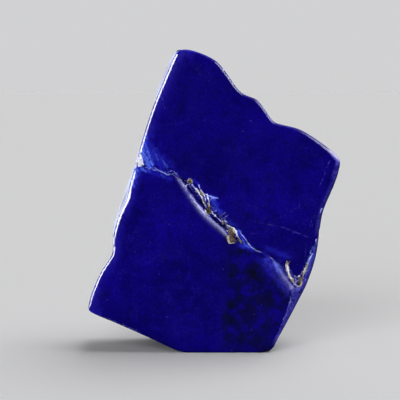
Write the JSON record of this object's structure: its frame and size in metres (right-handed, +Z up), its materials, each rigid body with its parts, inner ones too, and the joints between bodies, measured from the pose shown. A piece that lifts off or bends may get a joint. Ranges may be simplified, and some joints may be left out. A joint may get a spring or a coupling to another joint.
{
  "type": "polished lapis lazuli freeform",
  "caption": "Standing slab of polished lapis lazuli with a slanting seam of calcite and pyrite, resting on a small flat spot.",
  "frame": {"origin": "under the middle of the stone, on the surface it stands on", "axes": "+Z up; +X to the right and -Y towards the viewer, seen from the polished front face"},
  "size_m": [0.0829, 0.0262, 0.0999],
  "materials": {
    "lapis": "polished deep ultramarine stone, with a rough seam of white calcite and brown pyrite"
  },
  "bodies": {
    "root": {"lapis_stone": "lapis"}
  },
  "joints": []
}
